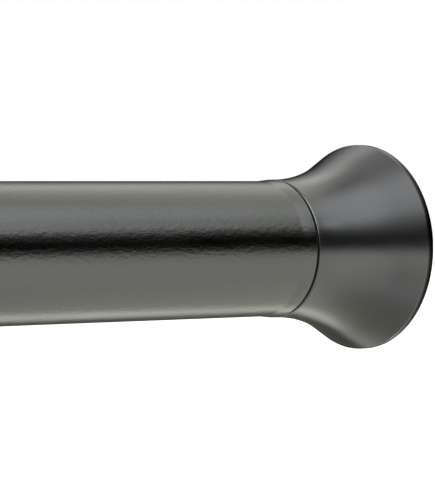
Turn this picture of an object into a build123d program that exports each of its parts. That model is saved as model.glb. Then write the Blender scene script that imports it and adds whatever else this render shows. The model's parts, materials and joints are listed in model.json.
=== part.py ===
"""A spring tension rod: two telescoping steel tubes with flared end caps, at its shortest length.

The origin is the centre of the fixed end's wall pad. +X points out of that pad, into the wall, so the rod
runs along -X. A station is a distance from one end's wall, measured along the rod. Profiles are drawn as
(station, radius) in a plane that holds the rod's axis. Millimetres.
"""

import os
from math import cos, radians, sin, sqrt, tan

from build123d import *

# Tubes
outer_tube_diameter = 25.4
outer_tube_wall = 0.6
outer_tube_length = 515.0
inner_tube_wall = 0.6
telescope_gap = 1.0
closed_reveal = 45.0
# The plug pressed into the outer tube's fixed end bells that end out a little.
bell_gain = 0.3
bell_length = 3.0
lip_round = 0.2

# Flared caps: the neck is flush with the tube's belled end
flare_reach = 6.65
rim_land = 1.9
flare_angle = 28.0
flare_arc_radius = 36.0
cap_wall = 1.8
rim_round = 0.9
land_round = 0.3
neck_round = 0.3
rib_count = 8
rib_width = 1.4
hub_diameter = 12.0
web_thickness = 4.0
socket_depth = 8.0
seam_gap = 0.5
seam_inset = 0.4

# Wall pads
pad_thickness = 2.4
pad_proud = 0.25
pad_margin = 1.2
pad_round = 0.3
pad_boss_depth = 2.0
groove_depth = 0.6
groove_width = 1.0
groove_pitch = 2.6
groove_count = 5
groove_first_radius = 5.0

# Plugs pressed into the tube ends, and the screws that draw the caps onto them
plug_length = 25.0
plug_floor = 12.0
plug_flange = 1.2
plug_wall = 3.0
crush_rib_count = 8
crush_rib_width = 1.6
crush_rib_height = 0.8
screw_diameter = 3.0
screw_length = 14.0
screw_tip = 2.5
screw_head_diameter = 6.4
screw_head_height = 2.2
screw_head_floor = 3.0
screw_dome = 1.0
recess_width = 1.0
recess_span = 3.6
recess_depth = 1.2

# Guide collar in the outer tube's mouth
collar_flange = 1.6
collar_round = 0.5
collar_sleeve_length = 20.0
collar_slot_width = 1.5
collar_slot_length = 14.0
collar_slot_count = 4

# Expander lock: a wedge nut drawn into a split sleeve
thread_diameter = 8.0
thread_pitch = 3.0
unlock_turns = 1.0
tip_gap = 5.0
tip_stub = 2.0
tip_chamfer = 0.8
wedge_length = 16.0
wedge_overhang = 1.0
fin_reach = 1.9
sleeve_length = 28.0
sleeve_base = 6.0
finger_count = 4
finger_thickness = 2.5
slot_width = 2.0
slot_length = 20.0
grip_groove_count = 7
grip_groove_width = 1.0
grip_groove_depth = 0.5
grip_groove_pitch = 2.6
grip_groove_start = 3.0

# Drive shaft and what it carries
shaft_across_flats = 8.0
shoulder_diameter = 13.0
shoulder_length = 3.0
washer_diameter = 15.0
washer_thickness = 1.0
clip_diameter = 11.0
clip_band = 1.1
clip_thickness = 0.8
clip_lug_width = 2.2
clip_mouth_width = 6.4
clip_room = 0.4
clip_groove_diameter = 6.2
tail_diameter = 6.0
nut_across_flats = 10.0
nut_height = 5.0
nut_chamfer_angle = 30.0
tail_stub = 1.5

# Sprung slide
spring_stroke = 36.0
stroke_margin = 1.5
bush_flange = 3.0
bush_length = 15.0
dimple_count = 3
dimple_radius = 3.0
dimple_depth = 0.45
piston_flange = 4.0
spring_nose = 6.0
spring_wire = 1.6
spring_gap = 1.2
spring_turns = 8
spring_length = 70.0
seat_length = 12.0
seat_bore_diameter = 8.0

# Clearances, each per side, and gaps along the rod
running_clearance = 0.1
sliding_clearance = 0.15
seat_clearance = 0.05
stop_gap = 0.3

# Radii
outer_r = outer_tube_diameter / 2
outer_bore_r = outer_r - outer_tube_wall
inner_r = outer_bore_r - telescope_gap
inner_bore_r = inner_r - inner_tube_wall
neck_r = outer_r + bell_gain
rim_r = neck_r + flare_reach
pad_r = rim_r - pad_margin
pad_recess_r = pad_r + seat_clearance
hub_r = hub_diameter / 2
screw_r = screw_diameter / 2
screw_head_r = screw_head_diameter / 2
head_bore_r = screw_head_r + 2 * sliding_clearance
thread_r = thread_diameter / 2
clip_r = clip_diameter / 2
tail_r = tail_diameter / 2
sleeve_r = outer_bore_r - running_clearance
wedge_front_r = sleeve_r - finger_thickness
fin_r = wedge_front_r + fin_reach
spring_r = inner_bore_r - spring_gap - spring_wire / 2
nose_r = spring_r - spring_wire / 2 - stop_gap

# The flare's stations: a straight cone, then an arc that ends along the rod at the neck
theta = radians(flare_angle)
rim_face = pad_proud
land_end = rim_face + rim_land
arc_drop = flare_arc_radius * (1 - cos(theta))
arc_start = land_end + (rim_r - neck_r - arc_drop) / tan(theta)
neck_end = arc_start + flare_arc_radius * sin(theta)

# Stations of the tubes and of the two ends
tube_start = neck_end + seam_gap
tube_mouth = tube_start + outer_tube_length
collar_face = tube_mouth + collar_flange
overall_length = collar_face + closed_reveal + neck_end
moving_tube_end = neck_end - socket_depth
inner_tube_end = overall_length - moving_tube_end
fixed_web = neck_end - web_thickness
moving_web = moving_tube_end - plug_flange - web_thickness

# Stations of the lock, the shaft and the sprung slide
plug_end = tube_start + plug_length
shaft_tip = plug_end + tip_gap
tip_clip_face = shaft_tip + tip_stub
lead_travel = thread_pitch * unlock_turns
wedge_face = tip_clip_face + clip_thickness + stop_gap + lead_travel
wedge_end = wedge_face + wedge_length
sleeve_face = wedge_face + wedge_overhang
sleeve_end = sleeve_face + sleeve_length
base_face = sleeve_end - sleeve_base
base_clip_face = base_face - stop_gap - clip_thickness
washer_end = sleeve_end + washer_thickness
shoulder_end = washer_end + shoulder_length
bush_face = shoulder_end + spring_stroke + stroke_margin
inner_tube_start = bush_face + bush_flange
bush_end = inner_tube_start + bush_length
piston_face = bush_end + stop_gap
spring_start = piston_face + piston_flange
piston_end = spring_start + spring_nose
nut_end = piston_end + nut_height
spring_end = spring_start + spring_length
seat_end = spring_end + seat_length

FIXED_END = 0.0
MOVING_END = -overall_length


def inward(end):
    """The direction along X that leads from that end's wall into the rod."""
    return -1 if end == FIXED_END else 1


def section(end):
    """The plane that holds the axis: x is the station from that end's wall, y the radius."""
    return Plane(origin=(end, 0, 0), x_dir=(inward(end), 0, 0), z_dir=(0, -inward(end), 0))


def across(end, station):
    """The plane square to the axis at a station, facing into the rod."""
    return Plane(origin=(end + inward(end) * station, 0, 0), x_dir=(0, 1, 0), z_dir=(inward(end), 0, 0))


def turned(end, points, mode=Mode.ADD):
    """Turns a closed profile of (station, radius) points about the axis, in the current part."""
    with BuildSketch(section(end)) as profile:
        with BuildLine():
            Polyline(*points, close=True)
        make_face()
    revolve(profile.sketch, axis=Axis.X, mode=mode)


def bored(end, start, stop, radius):
    """Bores a round hole along the axis from one station to another, in the current part."""
    with BuildSketch(across(end, start)) as hole:
        Circle(radius)
    extrude(hole.sketch, amount=stop - start, mode=Mode.SUBTRACT)


def rings(solid, end, radius):
    """A solid's circular edges of that radius, the nearest to that end's wall first."""
    circles = solid.edges().filter_by(GeomType.CIRCLE)
    same = circles.filter_by(lambda edge: abs(edge.radius - radius) < 1e-4)
    return same.sort_by(Axis.X, reverse=end == FIXED_END)


def rib_pockets(end, web_face):
    """The hollow between a cap's hub and its flared wall, divided by the ribs."""
    arc_r = flare_arc_radius + cap_wall
    arc_centre_r = neck_r + flare_arc_radius
    arc_from = (neck_end - arc_r * sin(theta), arc_centre_r - arc_r * cos(theta))
    ledge = (pad_thickness, arc_from[1] + (arc_from[0] - pad_thickness) * tan(theta))
    web_edge = (web_face, arc_centre_r - sqrt(arc_r**2 - (neck_end - web_face) ** 2))
    with BuildPart() as pockets:
        with BuildSketch(section(end)):
            with BuildLine():
                cone = Line(ledge, arc_from)
                TangentArc(arc_from, web_edge, tangent=cone % 1)
                Polyline(web_edge, (web_face, hub_r), (pad_thickness, hub_r), ledge)
            make_face()
        revolve(axis=Axis.X)
        with BuildSketch(across(end, 0)):
            with PolarLocations(0, rib_count):
                Rectangle(rim_r, rib_width, align=(Align.MIN, Align.CENTER))
        extrude(amount=neck_end, mode=Mode.SUBTRACT)
    return pockets.part


def flared_cap(end, web_face, socket_r):
    """A trumpet-shaped cap: a thin flared wall on a ribbed hub, with a recess for the pad."""
    pockets = rib_pockets(end, web_face)
    web_end = web_face + web_thickness
    head_seat = web_end - screw_head_floor
    with BuildPart() as cap:
        with BuildSketch(section(end)):
            with BuildLine():
                Polyline((neck_end, 0), (rim_face, 0), (rim_face, rim_r), (land_end, rim_r))
                cone = Line((land_end, rim_r), (arc_start, neck_r + arc_drop))
                TangentArc(cone @ 1, (neck_end, neck_r), tangent=cone % 1)
                Line((neck_end, neck_r), (neck_end, 0))
            make_face()
        revolve(axis=Axis.X)
        fillet(rings(cap, end, rim_r)[0], rim_round)
        fillet(rings(cap, end, rim_r)[-1], land_round)
        fillet(rings(cap, end, neck_r)[-1], neck_round)
        bored(end, 0, pad_thickness, pad_recess_r)
        add(pockets, mode=Mode.SUBTRACT)
        bored(end, pad_thickness, head_seat, head_bore_r)
        bored(end, head_seat, web_end, screw_r + sliding_clearance)
        if web_end < neck_end:
            bored(end, web_end, neck_end, socket_r)
    return cap.part


def wall_pad(end):
    """The rubber disc that presses on the wall: ring grooves in its face, a boss in the hub behind it."""
    with BuildPart() as pad:
        turned(end, [(0, 0), (0, pad_r), (pad_thickness, pad_r), (pad_thickness, 0)])
        fillet(rings(pad, end, pad_r)[0], pad_round)
        boss_r = head_bore_r - seat_clearance
        boss_end = pad_thickness + pad_boss_depth
        turned(end, [(pad_thickness, 0), (pad_thickness, boss_r), (boss_end, boss_r), (boss_end, 0)])
        for ring in range(groove_count):
            groove_r = groove_first_radius + ring * groove_pitch
            with BuildSketch(across(end, 0)):
                Circle(groove_r + groove_width)
                Circle(groove_r, mode=Mode.SUBTRACT)
            extrude(amount=groove_depth, mode=Mode.SUBTRACT)
    return pad.part


def cap_screw(end, web_face):
    """The domed screw that draws a cap onto its plug, with a cross recess and a pointed tip."""
    seat = web_face + web_thickness - screw_head_floor
    crown = seat - screw_head_height
    with BuildPart() as screw:
        with BuildSketch(section(end)):
            with BuildLine():
                edge = (crown + screw_dome, screw_head_r)
                dome = ThreePointArc((crown, 0), (crown + screw_dome / 4, screw_head_r / 2), edge)
                Polyline(
                    dome @ 1,
                    (seat, screw_head_r),
                    (seat, screw_r),
                    (seat + screw_length - screw_tip, screw_r),
                    (seat + screw_length, 0),
                    dome @ 0,
                )
            make_face()
        revolve(axis=Axis.X)
        with BuildSketch(across(end, crown)):
            Rectangle(recess_span, recess_width)
            Rectangle(recess_width, recess_span)
        extrude(amount=recess_depth, mode=Mode.SUBTRACT)
    return screw.part


def tube_plug(end, flange_face, flange_end, flange_r, tube_bore_r):
    """A moulded plug in a tube's end: a flange on the tube's edge, crush ribs in its bore, a blind core."""
    body_end = flange_end + plug_length
    rib_r = tube_bore_r - seat_clearance
    core_r = rib_r - crush_rib_height
    with BuildPart() as plug:
        turned(
            end,
            [
                (flange_face, 0),
                (flange_face, flange_r),
                (flange_end, flange_r),
                (flange_end, core_r),
                (body_end, core_r),
                (body_end, 0),
            ],
        )
        with BuildSketch(across(end, flange_end)) as ribs:
            with PolarLocations(0, crush_rib_count):
                Rectangle(rib_r, crush_rib_width, align=(Align.MIN, Align.CENTER))
            Circle(rib_r, mode=Mode.INTERSECT)
            Circle(core_r - plug_wall / 2, mode=Mode.SUBTRACT)
        extrude(ribs.sketch, amount=plug_length - 1.0)
        bored(end, flange_end + plug_floor, body_end, core_r - plug_wall)
        bored(end, flange_face, flange_end + plug_floor, screw_r + seat_clearance)
    return plug.part


def dimples(station, surface_r, round_r):
    """Spheres that sink into the tube round a station, dimple_depth under the given surface."""
    with BuildPart() as balls:
        with Locations(across(FIXED_END, station)):
            with PolarLocations(surface_r - dimple_depth + dimple_radius, dimple_count):
                Sphere(round_r)
    return balls.part


def retaining_clip(station):
    """An open clip in the shaft's groove: a thin band with three lugs that grip the groove's floor."""
    grip_r = clip_groove_diameter / 2 + seat_clearance
    with BuildPart() as clip:
        with BuildSketch(across(FIXED_END, station)):
            Circle(clip_r)
            Circle(clip_r - clip_band, mode=Mode.SUBTRACT)
            with PolarLocations(0, 3, start_angle=90, angular_range=270):
                Rectangle(clip_r - clip_band / 2, clip_lug_width, align=(Align.MIN, Align.CENTER))
            Circle(grip_r, mode=Mode.SUBTRACT)
            Rectangle(clip_diameter, clip_mouth_width, align=(Align.MIN, Align.CENTER), mode=Mode.SUBTRACT)
        extrude(amount=clip_thickness)
    return clip.part


# Outer tube, belled at its fixed end
with BuildPart() as outer_tube:
    turned(
        FIXED_END,
        [
            (tube_start, outer_bore_r + bell_gain),
            (tube_start, outer_r + bell_gain),
            (tube_start + bell_length, outer_r),
            (tube_mouth, outer_r),
            (tube_mouth, outer_bore_r),
            (tube_start + bell_length, outer_bore_r),
        ],
    )
    fillet(rings(outer_tube, FIXED_END, outer_r + bell_gain)[0], lip_round)
    fillet(rings(outer_tube, FIXED_END, outer_r)[-1], lip_round)

# Caps, pads, screws and plugs, one set at each end
fixed_cap = flared_cap(FIXED_END, fixed_web, 0)
moving_cap = flared_cap(MOVING_END, moving_web, inner_r + seat_clearance)
fixed_pad = wall_pad(FIXED_END)
moving_pad = wall_pad(MOVING_END)
fixed_screw = cap_screw(FIXED_END, fixed_web)
moving_screw = cap_screw(MOVING_END, moving_web)
fixed_plug = tube_plug(FIXED_END, neck_end, tube_start, neck_r - seam_inset, outer_bore_r)
moving_plug = tube_plug(
    MOVING_END, moving_tube_end - plug_flange, moving_tube_end, inner_r - seat_clearance, inner_bore_r
)

# Guide collar: a flange on the outer tube's mouth and a slotted sleeve round the inner tube
with BuildPart() as guide_collar:
    collar_start = tube_mouth - collar_sleeve_length
    collar_bore_r = inner_r + running_clearance
    turned(
        FIXED_END,
        [
            (collar_start, collar_bore_r),
            (collar_start, outer_bore_r - seat_clearance),
            (tube_mouth, outer_bore_r - seat_clearance),
            (tube_mouth, outer_r),
            (collar_face, outer_r),
            (collar_face, collar_bore_r),
        ],
    )
    fillet(rings(guide_collar, FIXED_END, outer_r)[-1], collar_round)
    with BuildSketch(across(FIXED_END, collar_start)):
        with PolarLocations(0, collar_slot_count):
            Rectangle(outer_r, collar_slot_width, align=(Align.MIN, Align.CENTER))
    extrude(amount=collar_slot_length, mode=Mode.SUBTRACT)

# Expander sleeve: four fingers round a bore that narrows from the wedge's front to the base's clip
wedge_slope = (wedge_front_r - clip_r - clip_room) / (base_face - wedge_face)


def wedge_r(station):
    """The wedge nut's radius at a station."""
    return wedge_front_r - (station - wedge_face) * wedge_slope


with BuildPart() as expander_sleeve:
    turned(FIXED_END, [(sleeve_face, 0), (sleeve_face, sleeve_r), (sleeve_end, sleeve_r), (sleeve_end, 0)])
    turned(
        FIXED_END,
        [
            (sleeve_face, 0),
            (sleeve_face, wedge_r(sleeve_face) + seat_clearance),
            (base_face, wedge_r(base_face) + seat_clearance),
            (base_face, 0),
        ],
        mode=Mode.SUBTRACT,
    )
    bored(FIXED_END, base_face, sleeve_end, thread_r + running_clearance)
    with BuildSketch(across(FIXED_END, sleeve_face)):
        with PolarLocations(0, finger_count):
            Rectangle(outer_r, slot_width, align=(Align.MIN, Align.CENTER))
    extrude(amount=slot_length, mode=Mode.SUBTRACT)
    for ring in range(grip_groove_count):
        with BuildSketch(across(FIXED_END, sleeve_face + grip_groove_start + ring * grip_groove_pitch)):
            Circle(outer_r)
            Circle(sleeve_r - grip_groove_depth, mode=Mode.SUBTRACT)
        extrude(amount=grip_groove_width, mode=Mode.SUBTRACT)

# Wedge nut: a cone on the shaft's thread, with a fin in each of the sleeve's slots
with BuildPart() as wedge_nut:
    turned(
        FIXED_END,
        [(wedge_face, 0), (wedge_face, wedge_front_r), (wedge_end, wedge_r(wedge_end)), (wedge_end, 0)],
    )
    with BuildSketch(across(FIXED_END, wedge_face)):
        with PolarLocations(0, finger_count):
            Rectangle(fin_r, slot_width - 2 * sliding_clearance, align=(Align.MIN, Align.CENTER))
        Circle(fin_r, mode=Mode.INTERSECT)
    extrude(amount=wedge_length)
    bored(FIXED_END, wedge_face, wedge_end, thread_r + running_clearance)

# Drive shaft: a threaded rod, a shoulder, a hexagon that slides in the bush, and a tail for the piston
with BuildPart() as drive_shaft:
    turned(
        FIXED_END,
        [
            (shaft_tip, 0),
            (shaft_tip, thread_r - tip_chamfer),
            (shaft_tip + tip_chamfer, thread_r),
            (washer_end, thread_r),
            (washer_end, shoulder_diameter / 2),
            (shoulder_end, shoulder_diameter / 2),
            (shoulder_end, 0),
        ],
    )
    with BuildSketch(across(FIXED_END, shoulder_end)):
        RegularPolygon(shaft_across_flats / 2, 6, major_radius=False)
    extrude(amount=piston_face - shoulder_end)
    turned(
        FIXED_END,
        [(piston_face, 0), (piston_face, tail_r), (nut_end + tail_stub, tail_r), (nut_end + tail_stub, 0)],
    )
    for groove in (tip_clip_face, base_clip_face):
        with BuildSketch(across(FIXED_END, groove - seat_clearance)):
            Circle(thread_r + 1)
            Circle(clip_groove_diameter / 2, mode=Mode.SUBTRACT)
        extrude(amount=clip_thickness + 2 * seat_clearance, mode=Mode.SUBTRACT)

# Thrust washer between the sleeve and the shaft's shoulder
with BuildPart() as thrust_washer:
    with BuildSketch(across(FIXED_END, sleeve_end)):
        Circle(washer_diameter / 2)
        Circle(thread_r + running_clearance, mode=Mode.SUBTRACT)
    extrude(amount=washer_thickness)

# Two clips on the shaft: one stops the wedge nut at the tip, the other holds the sleeve's base
with BuildPart() as shaft_clips:
    add(retaining_clip(tip_clip_face))
    add(retaining_clip(base_clip_face))

# Piston that the spring pushes on, and the nut that holds it to the shaft's tail
with BuildPart() as spring_piston:
    piston_r = inner_bore_r - sliding_clearance
    turned(
        FIXED_END,
        [
            (piston_face, tail_r + seat_clearance),
            (piston_face, piston_r),
            (spring_start, piston_r),
            (spring_start, nose_r),
            (piston_end, nose_r),
            (piston_end, tail_r + seat_clearance),
        ],
    )
    chamfer(rings(spring_piston, FIXED_END, nose_r)[-1], stop_gap)

with BuildPart() as piston_nut:
    nut_corner_r = nut_across_flats / 2 / cos(radians(30))
    nut_fall = (nut_corner_r - nut_across_flats / 2) * tan(radians(nut_chamfer_angle))
    with BuildSketch(across(FIXED_END, piston_end)):
        RegularPolygon(nut_across_flats / 2, 6, major_radius=False)
        Circle(tail_r + seat_clearance, mode=Mode.SUBTRACT)
    extrude(amount=nut_height)
    turned(
        FIXED_END,
        [
            (piston_end, 0),
            (piston_end, nut_corner_r),
            (nut_end - nut_fall, nut_corner_r),
            (nut_end, nut_across_flats / 2),
            (nut_end, 0),
        ],
        mode=Mode.INTERSECT,
    )

# Bush in the inner tube's hidden end: it glides in the outer tube and slides along the shaft's hexagon
with BuildPart() as glide_bush:
    bush_body_r = inner_bore_r - seat_clearance
    turned(
        FIXED_END,
        [
            (bush_face, 0),
            (bush_face, outer_bore_r - sliding_clearance),
            (inner_tube_start, outer_bore_r - sliding_clearance),
            (inner_tube_start, bush_body_r),
            (bush_end, bush_body_r),
            (bush_end, 0),
        ],
    )
    with BuildSketch(across(FIXED_END, bush_face)):
        RegularPolygon(shaft_across_flats / 2 + sliding_clearance, 6, major_radius=False)
    extrude(amount=bush_end - bush_face, mode=Mode.SUBTRACT)
    bush_dimple = inner_tube_start + bush_length / 2
    add(dimples(bush_dimple, inner_bore_r, dimple_radius + seat_clearance), mode=Mode.SUBTRACT)

# Spring seat fixed deep in the inner tube
with BuildPart() as spring_seat:
    seat_bore_r = seat_bore_diameter / 2
    turned(
        FIXED_END,
        [
            (spring_end - spring_nose, seat_bore_r),
            (spring_end - spring_nose, nose_r),
            (spring_end, nose_r),
            (spring_end, inner_bore_r - seat_clearance),
            (seat_end, inner_bore_r - seat_clearance),
            (seat_end, seat_bore_r),
        ],
    )
    seat_dimple = spring_end + seat_length / 2
    add(dimples(seat_dimple, inner_bore_r, dimple_radius + seat_clearance), mode=Mode.SUBTRACT)

# Inner tube, dimpled into the bush and the spring seat
with BuildPart() as inner_tube:
    turned(
        FIXED_END,
        [
            (inner_tube_start, inner_bore_r),
            (inner_tube_start, inner_r),
            (inner_tube_end, inner_r),
            (inner_tube_end, inner_bore_r),
        ],
    )
    for station in (bush_dimple, seat_dimple):
        add(dimples(station, inner_r, dimple_radius), mode=Mode.SUBTRACT)

# Compression spring between the piston and the seat
with BuildPart() as spring:
    coil_rise = spring_length - spring_wire - 2 * stop_gap
    coil_start = (-(spring_start + stop_gap + spring_wire / 2), 0, 0)
    with BuildLine() as coil:
        Helix(coil_rise / spring_turns, coil_rise, spring_r, center=coil_start, direction=(-1, 0, 0))
    with BuildSketch(Plane(origin=coil.line @ 0, z_dir=coil.line % 0)):
        Circle(spring_wire / 2)
    sweep(path=coil.line, is_frenet=True)

pieces = {
    "outer_tube": outer_tube.part,
    "fixed_cap": fixed_cap,
    "fixed_pad": fixed_pad,
    "fixed_screw": fixed_screw,
    "fixed_plug": fixed_plug,
    "guide_collar": guide_collar.part,
    "expander_sleeve": expander_sleeve.part,
    "wedge_nut": wedge_nut.part,
    "drive_shaft": drive_shaft.part,
    "thrust_washer": thrust_washer.part,
    "shaft_clips": shaft_clips.part,
    "spring_piston": spring_piston.part,
    "piston_nut": piston_nut.part,
    "inner_tube": inner_tube.part,
    "glide_bush": glide_bush.part,
    "spring": spring.part,
    "spring_seat": spring_seat.part,
    "moving_plug": moving_plug,
    "moving_screw": moving_screw,
    "moving_cap": moving_cap,
    "moving_pad": moving_pad,
}

os.makedirs("parts", exist_ok=True)
for name, piece in pieces.items():
    piece.label = name
    export_step(piece, f"parts/{name}.step")
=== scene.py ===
"""Dresses a spring tension rod: turned tubes, flared caps and pads, their finishes, and a plain studio.

The rod lies along -X from the fixed end's wall at x = 0. A station is a distance from one end's wall into
the rod, and a profile is a list of (station, radius) points that is turned about the rod's axis. Metres.
"""

import json
from math import asin, cos, pi, radians, sin, sqrt, tan
from typing import NamedTuple

import bmesh
import bpy
from bpy.props import FloatProperty, FloatVectorProperty, IntProperty, PointerProperty
from mathutils import Matrix, Vector


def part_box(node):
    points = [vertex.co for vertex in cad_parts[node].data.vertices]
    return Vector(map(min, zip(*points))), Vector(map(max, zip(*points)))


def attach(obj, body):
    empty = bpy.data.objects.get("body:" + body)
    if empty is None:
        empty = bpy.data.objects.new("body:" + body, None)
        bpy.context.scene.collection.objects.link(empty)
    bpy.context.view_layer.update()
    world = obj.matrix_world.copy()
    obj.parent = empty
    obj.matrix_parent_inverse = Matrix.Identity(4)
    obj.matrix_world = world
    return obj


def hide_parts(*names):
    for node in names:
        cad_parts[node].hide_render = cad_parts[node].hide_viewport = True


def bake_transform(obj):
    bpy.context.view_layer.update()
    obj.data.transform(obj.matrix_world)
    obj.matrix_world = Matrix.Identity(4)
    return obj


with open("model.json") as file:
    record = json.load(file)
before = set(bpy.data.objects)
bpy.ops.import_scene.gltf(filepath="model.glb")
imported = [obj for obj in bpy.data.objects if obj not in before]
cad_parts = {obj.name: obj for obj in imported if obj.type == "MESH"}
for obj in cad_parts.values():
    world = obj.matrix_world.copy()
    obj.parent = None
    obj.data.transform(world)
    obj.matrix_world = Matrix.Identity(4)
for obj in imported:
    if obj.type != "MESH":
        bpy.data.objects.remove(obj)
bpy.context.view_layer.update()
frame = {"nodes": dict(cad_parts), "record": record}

bl_info = {
    "name": "Spring Tension Rod",
    "version": (1, 0, 0),
    "blender": (4, 5, 0),
    "location": "3D View > Sidebar > Tension Rod",
    "description": "Builds the finish of a telescoping spring tension rod and its studio",
    "category": "Object",
}

MOUNTS = {mount["name"]: mount for mount in frame["record"]["mounts"]}
CAP_LOW, CAP_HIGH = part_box("fixed_cap")
TUBE_LOW, TUBE_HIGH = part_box("outer_tube")
INNER_LOW, INNER_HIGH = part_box("inner_tube")
COLLAR_LOW, COLLAR_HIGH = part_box("guide_collar")
SPRING_LOW, SPRING_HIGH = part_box("spring")
SHAFT_LOW, SHAFT_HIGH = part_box("drive_shaft")
CLIPS_LOW, CLIPS_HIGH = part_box("shaft_clips")
PAD_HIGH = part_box("fixed_pad")[1]
PISTON_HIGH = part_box("spring_piston")[1]
NUT_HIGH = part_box("piston_nut")[1]
WASHER_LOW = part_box("thrust_washer")[0]
SEAT_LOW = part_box("spring_seat")[0]
BUSH_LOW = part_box("glide_bush")[0]
MOVING_WALL = MOUNTS["moving_wall_face"]["pos_m"][0]


def length(name, description, default):
    """A length that a user may change, in metres."""
    return FloatProperty(
        name=name, description=description, default=default, min=0, precision=5,
        subtype="DISTANCE", unit="LENGTH"
    )


def share(name, description, default):
    """A number from 0 to 1."""
    return FloatProperty(name=name, description=description, default=default, min=0, max=1, subtype="FACTOR")


def colour(name, description, default):
    """A linear colour."""
    return FloatVectorProperty(
        name=name, description=description, default=default, size=3, min=0, max=1, subtype="COLOR"
    )


class Patch(NamedTuple):
    """A soft round patch of light, or of shade where its light is negative, with its angles in degrees.

    An azimuth of 0 is towards -Y and one of 90 towards +X. The light fades from the core to the reach.
    """

    azimuth: float
    elevation: float
    core: float
    reach: float
    light: tuple


ABOVE = (
    Patch(azimuth=25, elevation=52, core=0, reach=38, light=(0.96, 1.02, 1.19)),
    Patch(azimuth=50, elevation=50, core=10, reach=60, light=(-0.45, -0.48, -0.55)),
    Patch(azimuth=100, elevation=30, core=10, reach=45, light=(0.62, 0.63, 0.55)),
    Patch(azimuth=100, elevation=75, core=5, reach=40, light=(0.07, 0.07, 0.11)),
    Patch(azimuth=-20, elevation=78, core=5, reach=26, light=(0.14, 0.12, 0.09)),
    Patch(azimuth=148, elevation=32, core=4, reach=14, light=(-0.54, -0.53, -0.48)),
    Patch(azimuth=145, elevation=45, core=6, reach=18, light=(0.43, 0.42, 0.35)),
    Patch(azimuth=150, elevation=5, core=26, reach=38, light=(0.27, 0.26, 0.26)),
    Patch(azimuth=90, elevation=5, core=22, reach=42, light=(-0.9, -0.9, -0.9)),
)
BELOW = (
    Patch(azimuth=-60, elevation=-60, core=10, reach=70, light=(-0.33, -0.34, -0.27)),
    Patch(azimuth=150, elevation=-5, core=32, reach=44, light=(-0.79, -0.80, -0.74)),
    Patch(azimuth=0, elevation=-90, core=0, reach=40, light=(-0.14, -0.15, -0.20)),
    Patch(azimuth=100, elevation=-30, core=10, reach=45, light=(0.07, 0.08, 0.03)),
    Patch(azimuth=90, elevation=5, core=22, reach=42, light=(-0.95, -0.965, -0.85)),
    Patch(azimuth=12, elevation=-30, core=5, reach=35, light=(0.10, 0.09, 0.09)),
    Patch(azimuth=-24, elevation=-28, core=3, reach=19, light=(-0.19, -0.19, -0.18)),
)
AROUND = (
    Patch(azimuth=130, elevation=-43, core=3, reach=15, light=(0.75, 0.75, 0.69)),
    Patch(azimuth=36, elevation=30, core=1, reach=7, light=(0.45, 0.45, 0.43)),
    Patch(azimuth=45, elevation=30, core=1, reach=7, light=(0.45, 0.45, 0.43)),
    Patch(azimuth=-80, elevation=35, core=8, reach=30, light=(3.5, 3.5, 3.5)),
)


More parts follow.
